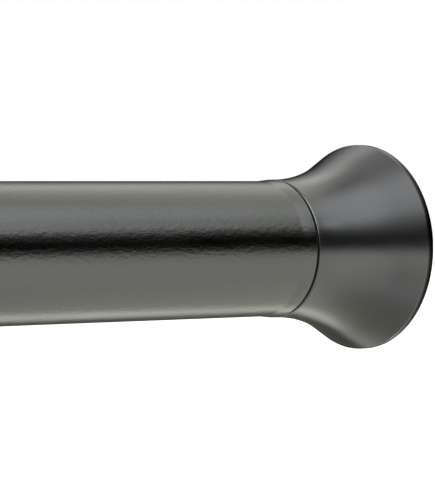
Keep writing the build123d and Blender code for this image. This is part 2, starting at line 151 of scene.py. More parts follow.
class RodSizes(bpy.types.PropertyGroup):
    """The sizes that shape the turned pieces."""

    tube_radius: length(
        "Tube radius", "Outside radius of the outer tube", MOUNTS["curtain_span"]["dims"]["r_mm"] / 1000
    )
    tube_wall: length("Tube wall", "Wall of both tubes", 0.0006)
    bell_gain: length("Bell gain", "How far the tube's end is belled out", 0.0003)
    bell_length: length("Bell length", "Length of the belled stretch", 0.003)
    lip_round: length("Lip round", "Rounding of the tube's outer edges", 0.0002)
    # Painted shade: the near-black band at the tube's belled end stands in for the shadow in the seam.
    edge_shade_width: length("Cut edge", "Width of the dark edge at the tube's belled end", 0.00016)
    inner_radius: length("Inner tube radius", "Outside radius of the inner tube", INNER_HIGH.z)
    rim_radius: length("Rim radius", "Radius of the cap's rim", CAP_HIGH.z)
    rim_face: length("Rim face", "Distance of the rim's face from the wall", -CAP_HIGH.x)
    rim_land: length("Rim land", "Width of the land round the rim", 0.0019)
    # Painted shade on the caps' rim: how far from the rim's face its band starts, and half the width of its
    # soft edge.
    painted_shade_reach: length("Bare rim", "How far from the rim's face the paint thins out", 0.0016)
    painted_shade_fade: length("Bare fade", "Half the width over which the paint thins out", 0.0004)
    rim_round: length("Rim round", "Rounding of the rim towards the wall", 0.0009)
    land_round: length("Land round", "Rounding where the land meets the cone", 0.0003)
    flare_angle: FloatProperty(
        name="Flare angle", description="Slope of the cap's straight cone",
        default=radians(28), subtype="ANGLE"
    )
    flare_arc: length("Flare arc", "Radius of the arc from the cone to the neck", 0.036)
    neck_radius: length("Neck radius", "Radius of the cap's neck", 0.013)
    neck_end: length("Neck end", "Distance of the neck's end from the wall", -CAP_LOW.x)
    neck_round: length("Neck round", "Rounding of the neck's edge at the seam", 0.0003)
    cap_wall: length("Cap wall", "Thickness of the flared wall", 0.0018)
    hub_radius: length("Hub radius", "Radius of the hub behind the pad", 0.006)
    hub_bore: length("Hub bore", "Radius of the bore over the screw's head", 0.0035)
    screw_bore: length("Screw bore", "Radius of the screw's hole through the web", 0.00165)
    screw_floor: length("Screw floor", "Thickness of the web under the screw's head", 0.003)
    web: length("Web", "Thickness of the web between the hub and the neck", 0.004)
    socket_depth: length("Socket depth", "Depth of the inner tube's socket in the moving cap", 0.008)
    plug_flange: length("Plug flange", "Thickness of the plug's flange on the inner tube", 0.0012)
    pad_radius: length("Pad radius", "Radius of the rubber pad", PAD_HIGH.z)
    pad_thickness: length("Pad thickness", "Thickness of the pad's disc", 0.0024)
    pad_round: length("Pad round", "Rounding of the pad's edge", 0.0003)
    boss_depth: length("Boss depth", "Length of the boss behind the pad", 0.002)
    groove_count: IntProperty(name="Grooves", description="Ring grooves in a pad's face", default=5, min=0)
    groove_start: length("Groove start", "Inner radius of the first groove", 0.005)
    groove_pitch: length("Groove pitch", "Distance between two grooves", 0.0026)
    groove_width: length("Groove width", "Width of one groove", 0.001)
    groove_depth: length("Groove depth", "Depth of one groove", 0.0006)
    groove_round: length("Groove round", "Rounding of a groove's edges", 0.00012)
    rib_count: IntProperty(
        name="Ribs", description="Ribs between a cap's hub and its flared wall", default=8, min=0
    )
    rib_width: length("Rib width", "Thickness of one rib", 0.0014)
    dimple_radius: length("Dimple radius", "Radius of the punch that dimples the inner tube", 0.003)
    dimple_depth: length("Dimple depth", "Depth of one dimple", 0.00045)
    seat_grip: length("Seat grip", "Length of the spring seat's body in the tube", 0.012)
    wire_radius: length("Wire radius", "Radius of the spring's wire", 0.0008)
    spring_turns: IntProperty(name="Spring turns", description="Turns of the spring", default=8, min=1)
    collar_round: length("Collar round", "Rounding of the collar's outer edge", 0.0005)
    collar_slot: length("Collar slot", "Width of the slots between the collar's fingers", 0.0015)
    finger_length: length("Finger length", "Length of the collar's fingers", 0.014)
    thread_radius: length("Thread radius", "Radius over the shaft's coarse thread", 0.004)
    thread_depth: length("Thread depth", "Depth of the coarse thread", 0.0009)
    thread_pitch: length("Thread pitch", "Travel of the wedge nut for one turn", 0.003)
    clip_groove: length("Clip groove", "Radius of the floor of a clip's groove", 0.0031)
    clip_thickness: length("Clip thickness", "Thickness of a retaining clip", 0.0008)
    shoulder_radius: length("Shoulder radius", "Radius of the shaft's shoulder", 0.0065)
    shoulder_length: length("Shoulder length", "Length of the shaft's shoulder", 0.003)
    shaft_flats: length("Shaft flats", "Width across the shaft's hexagon", 0.008)
    tail_radius: length("Tail radius", "Radius of the shaft's tail", 0.003)
    tail_depth: length("Tail thread depth", "Depth of the tail's thread", 0.0004)
    tail_pitch: length("Tail thread pitch", "Pitch of the tail's thread", 0.001)
    seat_gap: length("Seat gap", "Clearance per side where one piece sits in another", 0.00005)
    slide_gap: length("Slide gap", "Clearance per side where one piece slides in another", 0.0001)
    segments: IntProperty(name="Segments", description="Steps of a full turn", default=192, min=24)


class RodFinish(bpy.types.PropertyGroup):
    """Colours and surface of the finishes."""

    tube_colour: colour("Tube paint", "Gunmetal powder coat of the tubes", (0.1428, 0.1455, 0.1430))
    tube_fleck: colour("Tube fleck", "Pearl fleck in the tubes' paint", (0.162, 0.165, 0.162))
    tube_gloss: share("Tube roughness", "Roughness of the tubes' paint", 0.2)
    peel_size: length("Peel size", "Width of one bump of the powder coat", 0.0007)
    peel_height: length("Peel height", "Height of the powder coat's bumps", 0.00004)
    cap_colour: colour("Cap paint", "Satin paint of the caps", (0.1454, 0.1483, 0.1480))
    cap_gloss: share("Cap roughness", "Roughness of the caps' paint", 0.2)
    # Painted shade: the caps' colour is multiplied by this on the rim's wall side.
    rim_shade: share("Rim shade", "How much of the paint's shine is left at the rim's wall side", 0.06)
    pad_colour: colour("Rubber", "Rubber of the wall pads", (0.028, 0.028, 0.029))
    # Near-black plastic of the plugs and wedge nut; on the tubes' edges and the caps' inside at the seam it
    # is painted shade.
    black_plastic_and_seam_shade: colour(
        "Black plastic", "Plugs, wedge nut, the caps' inside and the tubes' edges", (0.012, 0.012, 0.013)
    )
    collar_plastic: colour("Collar plastic", "The guide collar", (0.045, 0.045, 0.047))
    lock_plastic: colour("Lock plastic", "Sleeve, bush, piston and seat", (0.62, 0.61, 0.56))
    steel_colour: colour("Zinc plate", "Shaft, washer, clips, nut and screws", (0.58, 0.585, 0.59))
    wire_colour: colour("Spring wire", "Drawn spring wire", (0.36, 0.36, 0.37))


class RodStudio(bpy.types.PropertyGroup):
    """Where the camera stands and how bright the studio is."""

    camera_place: FloatVectorProperty(
        name="Camera", description="Place of the camera",
        default=(-0.41024, -0.43116, 0.01274), subtype="TRANSLATION"
    )
    camera_turn: FloatProperty(
        name="Camera turn", description="Turn from straight across the rod",
        default=radians(40.843), subtype="ANGLE"
    )
    camera_dip: FloatProperty(
        name="Camera dip", description="How far the camera looks down",
        default=radians(1.241), subtype="ANGLE"
    )
    lens: FloatProperty(name="Lens", description="Focal length in millimetres", default=223.76)
    floor_drop: length("Floor drop", "How far the floor lies under the rod's axis", 0.16)
    floor_size: length("Floor size", "Width of the floor", 12.0)
    floor_colour: colour("Floor", "Paper of the floor", (0.86, 0.86, 0.85))
    floor_glow: share("Floor glow", "Light that the floor adds towards the camera", 0.5)
    belt_low: FloatProperty(
        name="Belt low", description="Sine of the elevation of the dark belt's lower edge", default=-0.05
    )
    low_fade: FloatProperty(name="Low fade", description="Half the width of that edge's fade", default=0.13)
    belt_high: FloatProperty(
        name="Belt high", description="Sine of the elevation of the dark belt's upper edge", default=0.45
    )
    high_fade: FloatProperty(name="High fade", description="Half the width of that edge's fade", default=0.23)
    above_colour: colour("Above", "Light from above the belt, apart from its patches", (0.763, 0.776, 0.771))
    below_colour: colour("Below", "Light from below the belt, apart from its patches", (0.905, 0.912, 0.840))
    key_power: FloatProperty(
        name="Key light", description="Power of the soft key light in watts", default=6.0
    )
    key_size: length("Key size", "Width of the key light", 1.2)
    key_place: FloatVectorProperty(
        name="Key place", description="Place of the key light, from the middle of the rod",
        default=(0.2, -0.6, 1.6), subtype="TRANSLATION"
    )


def arc(centre, radius, start, end, steps):
    """Points of a profile's arc about a (station, radius) centre, from one angle to another."""
    turns = [start + (end - start) * step / steps for step in range(steps + 1)]
    return [(centre[0] + radius * cos(turn), centre[1] + radius * sin(turn)) for turn in turns]


def rounded(corner, before, after, radius, steps=6):
    """The arc that rounds a profile's corner between the points before and after it."""
    point = Vector(corner)
    back = (Vector(before) - point).normalized()
    on = (Vector(after) - point).normalized()
    half = back.angle(on) / 2
    centre = point + (back + on).normalized() * (radius / sin(half))
    spoke = point + back * (radius / tan(half)) - centre
    swing = (pi - 2 * half) * (-1 if back.cross(on) > 0 else 1)
    return [tuple(centre + Matrix.Rotation(swing * step / steps, 2) @ spoke) for step in range(steps + 1)]


def outline(points, rounds):
    """A closed profile whose corners, given by their place in the list, are rounded."""
    smooth = []
    for index, point in enumerate(points):
        if index in rounds:
            smooth += rounded(point, points[index - 1], points[(index + 1) % len(points)], rounds[index])
        else:
            smooth.append(point)
    return smooth


def at_station(wall, station):
    """The x of a station measured from one end's wall."""
    return wall - station if wall == 0 else wall + station


def closed_wire(bm, points, wall):
    """Joins (station, radius) points into a closed wire in the plane y = 0, inwards from a wall."""
    verts = [bm.verts.new((at_station(wall, station), 0, radius)) for station, radius in points]
    pairs = [(verts[index - 1], vert) for index, vert in enumerate(verts)]
    return verts + [bm.edges.new(pair) for pair in pairs if pair[0].co.z > 0 or pair[1].co.z > 0]


def finished(name, bm, sharp_angle=radians(38)):
    """Merges doubles, points the faces outwards and makes the mesh a smooth-shaded object."""
    bmesh.ops.remove_doubles(bm, verts=bm.verts, dist=1e-7)
    bmesh.ops.dissolve_degenerate(bm, edges=bm.edges, dist=1e-8)
    bmesh.ops.recalc_face_normals(bm, faces=bm.faces)
    mesh = bpy.data.meshes.new(name)
    bm.to_mesh(mesh)
    bm.free()
    mesh.shade_smooth()
    mesh.set_sharp_from_angle(angle=sharp_angle)
    piece = bpy.data.objects.new(name, mesh)
    bpy.context.scene.collection.objects.link(piece)
    return piece


def turn_profile(bm, points, wall, segments, angle=2 * pi):
    """Turns a closed profile about the rod's axis."""
    bmesh.ops.spin(
        bm,
        geom=closed_wire(bm, points, wall),
        cent=(0, 0, 0),
        axis=(1, 0, 0),
        angle=angle,
        steps=segments,
        use_merge=angle == 2 * pi,
    )


def dress(piece, body, node, material):
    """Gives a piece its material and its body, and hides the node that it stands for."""
    piece.data.materials.append(material)
    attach(piece, body)
    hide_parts(node)


class Tree:
    """A node tree whose nodes are made and joined by short calls."""

    def __init__(self, owner):
        owner.use_nodes = True
        self.owner = owner
        self.nodes = owner.node_tree.nodes
        self.links = owner.node_tree.links

    def add(self, kind, **inputs):
        """A node whose named inputs are set to values or joined to outputs."""
        node = self.nodes.new("ShaderNode" + kind)
        for name, value in inputs.items():
            self.feed(node.inputs[name], value)
        return node

    def feed(self, socket, value):
        """Sets an input to a value or joins it to an output."""
        if isinstance(value, bpy.types.NodeSocket):
            self.links.new(value, socket)
        else:
            socket.default_value = value

    def spread(self, value, low, high, to_low=0.0, to_high=1.0, soft=False):
        """Maps a value's range onto another, evenly or with soft ends."""
        node = self.add("MapRange", Value=value)
        node.interpolation_type = "SMOOTHSTEP" if soft else "LINEAR"
        for name, number in zip(("From Min", "From Max", "To Min", "To Max"), (low, high, to_low, to_high)):
            node.inputs[name].default_value = number
        return node.outputs["Result"]

    def vector(self, operation, first, second):
        """A vector math node on two vectors, or on a vector and the number that scales it."""
        node = self.add("VectorMath")
        node.operation = operation
        self.feed(node.inputs[0], first)
        self.feed(node.inputs["Scale"] if operation == "SCALE" else node.inputs[1], second)
        return node.outputs["Value" if operation == "DOT_PRODUCT" else "Vector"]


class Recipe(Tree):
    """A material's nodes, made and joined by short calls."""

    def __init__(self, name, base, roughness, metallic):
        super().__init__(bpy.data.materials.new(name))
        self.shader = self.nodes["Principled BSDF"]
        self.shader.inputs["Base Color"].default_value = (*base, 1)
        self.shader.inputs["Roughness"].default_value = roughness
        self.shader.inputs["Metallic"].default_value = metallic
        self.place = self.add("TexCoord").outputs["Object"]

    def stretched(self, scale):
        """Object coordinates scaled along each axis."""
        return self.add("Mapping", Vector=self.place, Scale=scale).outputs["Vector"]

    def noise(self, vector, scale, detail=3.0, roughness=0.5):
        """Noise from 0 to 1, with about as many bumps in a metre as its scale says."""
        node = self.add("TexNoise", Vector=vector, Scale=scale, Detail=detail, Roughness=roughness)
        return node.outputs["Fac"]

    def mix(self, factor, first, second):
        """Mixes two colours by a value."""
        node = self.add("Mix", Factor=factor)
        node.data_type = "RGBA"
        for name, value in (("A", first), ("B", second)):
            self.feed(node.inputs[name], value if isinstance(value, bpy.types.NodeSocket) else (*value, 1))
        return node.outputs["Result"]

    def bump(self, height, distance):
        """Raises the surface by a height from 0 to 1, times a distance."""
        node = self.add("Bump", Height=height, Distance=distance)
        self.links.new(node.outputs["Normal"], self.shader.inputs["Normal"])

    def drive(self, output, socket):
        """Joins an output to one of the shader's sockets."""
        self.links.new(output, self.shader.inputs[socket])

    def vary_roughness(self, pattern, roughness, less, more):
        """Lets the roughness follow a pattern's middle range, from a little less to a little more."""
        self.drive(self.spread(pattern, 0.3, 0.7, roughness - less, roughness + more), "Roughness")


def toned(base, factor):
    """A colour made darker by a factor under 1 or lighter by one over 1."""
    return tuple(channel * factor for channel in base)


def tube_paint(finish):
    """Gunmetal powder coat: fine bumps drawn out a little along the tube, and a pearl fleck."""
    recipe = Recipe("tube_paint", finish.tube_colour, finish.tube_gloss, metallic=1.0)
    along = recipe.stretched((0.45, 1.0, 1.0))
    peel = recipe.noise(along, scale=1 / finish.peel_size, detail=3.0, roughness=0.6)
    recipe.bump(peel, distance=finish.peel_height)
    fleck = recipe.noise(recipe.place, scale=3.2 / finish.peel_size, detail=2.0)
    flecked = recipe.spread(fleck, 0.35, 0.75)
    recipe.drive(recipe.mix(flecked, finish.tube_colour, finish.tube_fleck), "Base Color")
    cloud = recipe.noise(along, scale=140.0, detail=2.0)
    recipe.vary_roughness(cloud, finish.tube_gloss, less=0.03, more=0.03)
    return recipe.owner


def cap_paint(finish, sizes):
    """Smooth satin paint on a moulded cap, barely clouded, with painted shade: the colour darkens on the
    rim's wall side.
    """
    recipe = Recipe("cap_paint", finish.cap_colour, finish.cap_gloss, metallic=0.93)
    grain = recipe.noise(recipe.place, scale=2200.0, detail=2.0)
    recipe.bump(grain, distance=0.000008)
    cloud = recipe.noise(recipe.place, scale=160.0, detail=2.0)
    recipe.vary_roughness(cloud, finish.cap_gloss, less=0.02, more=0.02)
    # Painted shade: a band on each cap's rim, at its wall side, takes the cap's colour times the rim shade,
    # standing in for the rounded rim's dark reflection.
    middle = MOVING_WALL / 2
    offset = recipe.vector("SUBTRACT", recipe.place, (middle, 0, 0))
    along = recipe.vector("DOT_PRODUCT", recipe.vector("ABSOLUTE", offset, (0, 0, 0)), (1, 0, 0))
    rim_start = -middle - sizes.rim_face - sizes.painted_shade_reach
    shade = recipe.spread(along, rim_start - sizes.painted_shade_fade, rim_start + sizes.painted_shade_fade, soft=True)
    clouded = recipe.mix(cloud, toned(finish.cap_colour, 0.94), finish.cap_colour)
    painted_shade = toned(finish.cap_colour, finish.rim_shade)
    recipe.drive(recipe.mix(shade, clouded, painted_shade), "Base Color")
    return recipe.owner


def rubber(finish):
    """Matt moulded rubber with dusty high spots."""
    recipe = Recipe("pad_rubber", finish.pad_colour, roughness=0.82, metallic=0.0)
    skin = recipe.noise(recipe.place, scale=1500.0, detail=4.0)
    recipe.bump(skin, distance=0.00003)
    dust = recipe.noise(recipe.place, scale=260.0, detail=5.0)
    dusty = recipe.spread(dust, 0.45, 0.8)
    recipe.drive(recipe.mix(dusty, finish.pad_colour, toned(finish.pad_colour, 1.7)), "Base Color")
    recipe.drive(recipe.spread(dust, 0.3, 0.8, to_low=0.74, to_high=0.9), "Roughness")
    return recipe.owner


def moulded(name, base, roughness, shine=0.5):
    """Moulded plastic with a fine spark-eroded grain."""
    recipe = Recipe(name, base, roughness, metallic=0.0)
    recipe.shader.inputs["Specular IOR Level"].default_value = shine
    grain = recipe.noise(recipe.place, scale=2600.0, detail=3.0)
    recipe.bump(grain, distance=0.000012)
    cloud = recipe.noise(recipe.place, scale=90.0, detail=3.0)
    recipe.drive(recipe.mix(cloud, toned(base, 0.86), base), "Base Color")
    recipe.vary_roughness(grain, roughness, less=0.06, more=0.06)
    return recipe.owner


def bright_steel(name, base, roughness):
    """Steel with fine marks drawn out along the rod."""
    recipe = Recipe(name, base, roughness, metallic=1.0)
    marks = recipe.noise(recipe.stretched((0.06, 1.0, 1.0)), scale=5200.0, detail=4.0, roughness=0.7)
    recipe.bump(marks, distance=0.000004)
    tarnish = recipe.spread(recipe.noise(recipe.place, scale=220.0, detail=4.0), 0.4, 0.75)
    recipe.drive(recipe.mix(tarnish, base, toned(base, 0.72)), "Base Color")
    recipe.vary_roughness(marks, roughness, less=0.08, more=0.1)
    return recipe.owner


def dark_faces(piece, material, chosen):
    """Gives a second material to the faces that are chosen by their middle's x and distance from the axis."""
    piece.data.materials.append(material)
    for face in piece.data.polygons:
        if chosen(face.center.x, sqrt(face.center.y ** 2 + face.center.z ** 2)):
            face.material_index = 1


class ROD_OT_tubes(bpy.types.Operator):
    """Turn the belled outer tube and the inner tube"""

    bl_idname = "rod.tubes"
    bl_label = "Tubes"

    def press_dimples(self, bm, sizes, station, middle_radius):
        """Presses the wall in by a round punch at three places round a station."""
        depth, punch, wall = sizes.dimple_depth, sizes.dimple_radius, sizes.tube_wall
        for vert in bm.verts:
            across = Vector((0, vert.co.y, vert.co.z))
            surface = middle_radius + wall / 2 * (1 if across.length > middle_radius else -1)
            for turn in (0, 2 * pi / 3, 4 * pi / 3):
                out = Vector((0, cos(turn), -sin(turn)))
                to_punch = Vector((-station - vert.co.x, 0, 0)) + out * (surface - depth + punch)
                along = to_punch.dot(across.normalized())
                inside = along ** 2 - to_punch.length_squared + punch ** 2
                if along > 0 and inside > 0 and along - sqrt(inside) < across.length:
                    vert.co = Vector((vert.co.x, 0, 0)) + across.normalized() * (along - sqrt(inside))

    def execute(self, context):
        sizes = context.scene.rod_sizes
        finish = context.scene.rod_finish
        paint = tube_paint(finish)
        painted_shade = moulded("tube_edge_seam_shade", finish.black_plastic_and_seam_shade, roughness=0.6, shine=0.2)
        radius, wall = sizes.tube_radius, sizes.tube_wall
        start, mouth = -TUBE_HIGH.x, -TUBE_LOW.x
        bell_end = start + sizes.bell_length
        bell_round = sizes.bell_length * 3
        outer = outline(
            [
                (start, radius - wall + sizes.bell_gain),
                (start, radius + sizes.bell_gain),
                (bell_end, radius),
                (mouth, radius),
                (mouth, radius - wall),
                (bell_end, radius - wall),
            ],
            {1: sizes.lip_round, 2: bell_round, 3: sizes.lip_round},
        )
        bm = bmesh.new()
        turn_profile(bm, outer, 0, sizes.segments)
        piece = finished("outer_tube_painted", bm)
        dress(piece, "outer_rod", "outer_tube", paint)
        # Painted shade: the faces near the belled end, and the bore, take the near-black material, which
        # darkens the seam by the cap.
        edge, bore = -start - sizes.edge_shade_width, radius - wall / 2
        dark_faces(piece, painted_shade, lambda along, middle: along > edge or middle < bore)

        start, end = -INNER_HIGH.x, -INNER_LOW.x
        radius = sizes.inner_radius
        bore = radius - wall
        bush_dimple = start + (-BUSH_LOW.x - start) / 2
        seat_dimple = -SEAT_LOW.x - sizes.seat_grip / 2
        dimples = (bush_dimple, seat_dimple)
        reach, steps = sizes.dimple_radius * 0.7, 12
        offsets = [reach * (2 * step / steps - 1) for step in range(steps + 1)]
        near = [middle + offset for middle in dimples for offset in offsets]
        inner = outline(
            [(start, bore), (start, radius)]
            + [(station, radius) for station in near]
            + [(end, radius), (end, bore)]
            + [(station, bore) for station in reversed(near)],
            {1: sizes.lip_round, 2 + len(near): sizes.lip_round},
        )
        bm = bmesh.new()
        turn_profile(bm, inner, 0, sizes.segments)
        for station in dimples:
            self.press_dimples(bm, sizes, station, (radius + bore) / 2)
        piece = finished("inner_tube_painted", bm)
        dress(piece, "inner_rod", "inner_tube", paint)
        middle_wall = radius - wall / 2 - sizes.dimple_depth
        dark_faces(piece, painted_shade, lambda along, middle: middle < middle_wall)
        return {"FINISHED"}


class ROD_OT_caps(bpy.types.Operator):
    """Turn the two flared caps, with their pad recess, screw bore and ribs"""

    bl_idname = "rod.caps"
    bl_label = "Flared caps"

    def hollow(self, sizes, web_face):
        """The outline of the ring-shaped hollow between the hub and the flared wall."""
        slope = sizes.flare_angle
        centre = (sizes.neck_end, sizes.neck_radius + sizes.flare_arc)
        inner_arc = sizes.flare_arc + sizes.cap_wall
        web_turn = asin((sizes.neck_end - web_face) / inner_arc)
        wall = arc(centre, inner_arc, -pi / 2 - web_turn, -pi / 2 - slope, steps=12)
        ledge = wall[-1][1] + (wall[-1][0] - sizes.pad_thickness) * tan(slope)
        return [(sizes.pad_thickness, sizes.hub_radius), (web_face, sizes.hub_radius)] + wall + [
            (sizes.pad_thickness, ledge)
        ]

    def rib(self, bm, sizes, wall, web_face, turn):
        """One rib across the hollow, let a little into the hub, the web and the flared wall."""
        sink = 0.0002
        points = []
        for station, radius in self.hollow(sizes, web_face):
            at_hub = radius == sizes.hub_radius
            station += sink if station == web_face else 0
            points.append((station, radius + (-sink if at_hub else sink)))
        wire = closed_wire(bm, points, wall)
        face = bmesh.ops.contextual_create(bm, geom=wire)["faces"]
        sides = bmesh.ops.extrude_face_region(bm, geom=face, use_keep_orig=True)["geom"]
        far = [item for item in sides if isinstance(item, bmesh.types.BMVert)]
        near = [item for item in wire if isinstance(item, bmesh.types.BMVert)]
        bmesh.ops.translate(bm, verts=far, vec=(0, sizes.rib_width / 2, 0))
        bmesh.ops.translate(bm, verts=near, vec=(0, -sizes.rib_width / 2, 0))
        bmesh.ops.rotate(bm, verts=near + far, cent=(0, 0, 0), matrix=Matrix.Rotation(turn, 3, "X"))

    def profile(self, sizes, web_face, socket_radius):
        """The cap's closed profile, from the rim's face round the flare and back through the recess."""
        slope = sizes.flare_angle
        land_end = sizes.rim_face + sizes.rim_land
        centre = (sizes.neck_end, sizes.neck_radius + sizes.flare_arc)
        cone_end = (centre[0] - sizes.flare_arc * sin(slope), centre[1] - sizes.flare_arc * cos(slope))
        recess = sizes.pad_radius + sizes.seat_gap
        flare = arc(centre, sizes.flare_arc, -pi / 2 - slope, -pi / 2, steps=40)
        rim = (sizes.rim_face, sizes.rim_radius)
        shoulder = (land_end, sizes.rim_radius)
        neck = (sizes.neck_end, sizes.neck_radius)
        outside = (
            rounded(rim, (sizes.rim_face, recess), shoulder, sizes.rim_round, steps=14)
            + rounded(shoulder, rim, cone_end, sizes.land_round)
            + flare[:-1]
            + rounded(neck, flare[-3], (sizes.neck_end, 0), sizes.neck_round)
        )
        web_end = web_face + sizes.web
        bore = sizes.screw_bore
        back = [(sizes.neck_end, bore)]
        if socket_radius:
            back = [(sizes.neck_end, socket_radius), (web_end, socket_radius), (web_end, bore)]
        head_seat = web_end - sizes.screw_floor
        inside = [(head_seat, bore), (head_seat, sizes.hub_bore), (sizes.pad_thickness, sizes.hub_bore)]
        inside += self.hollow(sizes, web_face)
        inside += [(sizes.pad_thickness, recess), (sizes.rim_face, recess)]
        return outside + back + inside

    def dark_inside(self, sizes, wall):
        """A test for the faces inside the flare, which take the near-black material; at the neck's end face
        in the seam this is painted shade.
        """

        def chosen(along, radius):
            station = abs(along - wall)
            rise = max(sizes.neck_end - station, 0)
            outside = sizes.pad_radius
            if rise < sizes.flare_arc * sin(sizes.flare_angle):
                outside = sizes.neck_radius + sizes.flare_arc - sqrt(sizes.flare_arc ** 2 - rise ** 2)
            return radius < outside - sizes.neck_round

        return chosen

    def execute(self, context):
        sizes = context.scene.rod_sizes
        finish = context.scene.rod_finish
        paint = cap_paint(finish, sizes)
        # Near-black material for the faces inside each cap; at the neck's end face it paints shade into the
        # seam.
        painted_shade = moulded("cap_inside_seam_shade", finish.black_plastic_and_seam_shade, roughness=0.55, shine=0.3)
        fixed_web = sizes.neck_end - sizes.web
        moving_web = sizes.neck_end - sizes.socket_depth - sizes.plug_flange - sizes.web
        ends = (
            ("fixed_cap", "outer_rod", 0.0, fixed_web, 0.0),
            ("moving_cap", "inner_rod", MOVING_WALL, moving_web, sizes.inner_radius + sizes.seat_gap),
        )
        for node, body, wall, web_face, socket_radius in ends:
            bm = bmesh.new()
            turn_profile(bm, self.profile(sizes, web_face, socket_radius), wall, sizes.segments)
            for turn in range(sizes.rib_count):
                self.rib(bm, sizes, wall, web_face, turn * 2 * pi / sizes.rib_count)
            piece = finished(node + "_painted", bm)
            dress(piece, body, node, paint)
            dark_faces(piece, painted_shade, self.dark_inside(sizes, wall))
        return {"FINISHED"}


class ROD_OT_pads(bpy.types.Operator):
    """Turn the rubber wall pads with their grip grooves and the boss behind"""

    bl_idname = "rod.pads"
    bl_label = "Wall pads"

    def execute(self, context):
        sizes = context.scene.rod_sizes
        skin = rubber(context.scene.rod_finish)
        points, rounds = [(0, 0)], {}
        depth = sizes.groove_depth
        for ring in range(sizes.groove_count):
            start = sizes.groove_start + ring * sizes.groove_pitch
            end = start + sizes.groove_width
            for corner in ((0, start), (depth, start), (depth, end), (0, end)):
                rounds[len(points)] = sizes.groove_round
                points.append(corner)
        rounds[len(points)] = sizes.pad_round
        boss = sizes.hub_bore - sizes.seat_gap
        boss_end = sizes.pad_thickness + sizes.boss_depth
        points += [(0, sizes.pad_radius), (sizes.pad_thickness, sizes.pad_radius)]
        points += [(sizes.pad_thickness, boss), (boss_end, boss), (boss_end, 0)]
        for node, body, wall in (("fixed_pad", "outer_rod", 0.0), ("moving_pad", "inner_rod", MOVING_WALL)):
            bm = bmesh.new()
            turn_profile(bm, outline(points, rounds), wall, sizes.segments)
            dress(finished(node + "_rubber", bm), body, node, skin)
        return {"FINISHED"}


class ROD_OT_collar(bpy.types.Operator):
    """Turn the guide collar's flange and its four slotted fingers"""

    bl_idname = "rod.collar"
    bl_label = "Guide collar"

    def execute(self, context):
        sizes = context.scene.rod_sizes
        plastic = moulded("collar_plastic", context.scene.rod_finish.collar_plastic, roughness=0.42)
        face, mouth, start = -COLLAR_LOW.x, -TUBE_LOW.x, -COLLAR_HIGH.x
        bore = sizes.inner_radius + sizes.slide_gap
        sleeve = sizes.tube_radius - sizes.tube_wall - sizes.seat_gap
        slot_end = start + sizes.finger_length
        ring = outline(
            [
                (slot_end, bore),
                (slot_end, sleeve),
                (mouth, sleeve),
                (mouth, sizes.tube_radius),
                (face, sizes.tube_radius),
                (face, bore),
            ],
            {4: sizes.collar_round, 5: sizes.lip_round},
        )
        bm = bmesh.new()
        turn_profile(bm, ring, 0, sizes.segments)
        finger_sink = 0.0003
        root = slot_end + finger_sink
        finger = [(start, bore), (start, sleeve), (root, sleeve), (root, bore)]
        slot_turn = sizes.collar_slot / sleeve
        for quarter in range(4):
            before = set(bm.faces)
            wire = closed_wire(bm, finger, 0)
            verts = [item for item in wire if isinstance(item, bmesh.types.BMVert)]
            turn = Matrix.Rotation(quarter * pi / 2 + slot_turn / 2 + pi / 2, 3, "X")
            bmesh.ops.rotate(bm, verts=verts, cent=(0, 0, 0), matrix=turn)
            first = bmesh.ops.contextual_create(bm, geom=wire)["faces"]
            bmesh.ops.spin(
                bm,
                geom=first,
                cent=(0, 0, 0),
                axis=(1, 0, 0),
                angle=pi / 2 - slot_turn,
                steps=sizes.segments // 5,
            )
            bmesh.ops.recalc_face_normals(bm, faces=[face for face in bm.faces if face not in before])
        piece = finished("guide_collar_moulded", bm)
        dress(piece, "outer_rod", "guide_collar", plastic)
        return {"FINISHED"}


class ROD_OT_spring(bpy.types.Operator):
    """Coil the compression spring between its piston and its seat"""

    bl_idname = "rod.spring"
    bl_label = "Spring"

    def execute(self, context):
        sizes = context.scene.rod_sizes
        finish = context.scene.rod_finish
        wire = sizes.wire_radius
        coil_radius = SPRING_HIGH.z - wire
        start = SPRING_HIGH.x - wire
        travel = SPRING_HIGH.x - SPRING_LOW.x - 2 * wire
        pitch = travel / sizes.spring_turns
        per_turn = 60
        bm = bmesh.new()
        section = bmesh.ops.create_circle(bm, segments=20, radius=wire, cap_ends=True)["verts"]
        lean = Matrix.Rotation(pitch / (2 * pi * coil_radius), 4, "Y")
        bmesh.ops.transform(bm, verts=section, matrix=Matrix.Translation((start, coil_radius, 0)) @ lean)
        bmesh.ops.spin(
            bm,
            geom=list(bm.faces),
            cent=(0, 0, 0),
            axis=(1, 0, 0),
            dvec=(-pitch / per_turn, 0, 0),
            angle=2 * pi * sizes.spring_turns,
            steps=per_turn * sizes.spring_turns,
        )
        coil = finished("spring_coil", bm)
        coil.data.materials.append(bright_steel("spring_steel", finish.wire_colour, roughness=0.34))
        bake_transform(coil)
        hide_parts("spring")
        return {"FINISHED"}


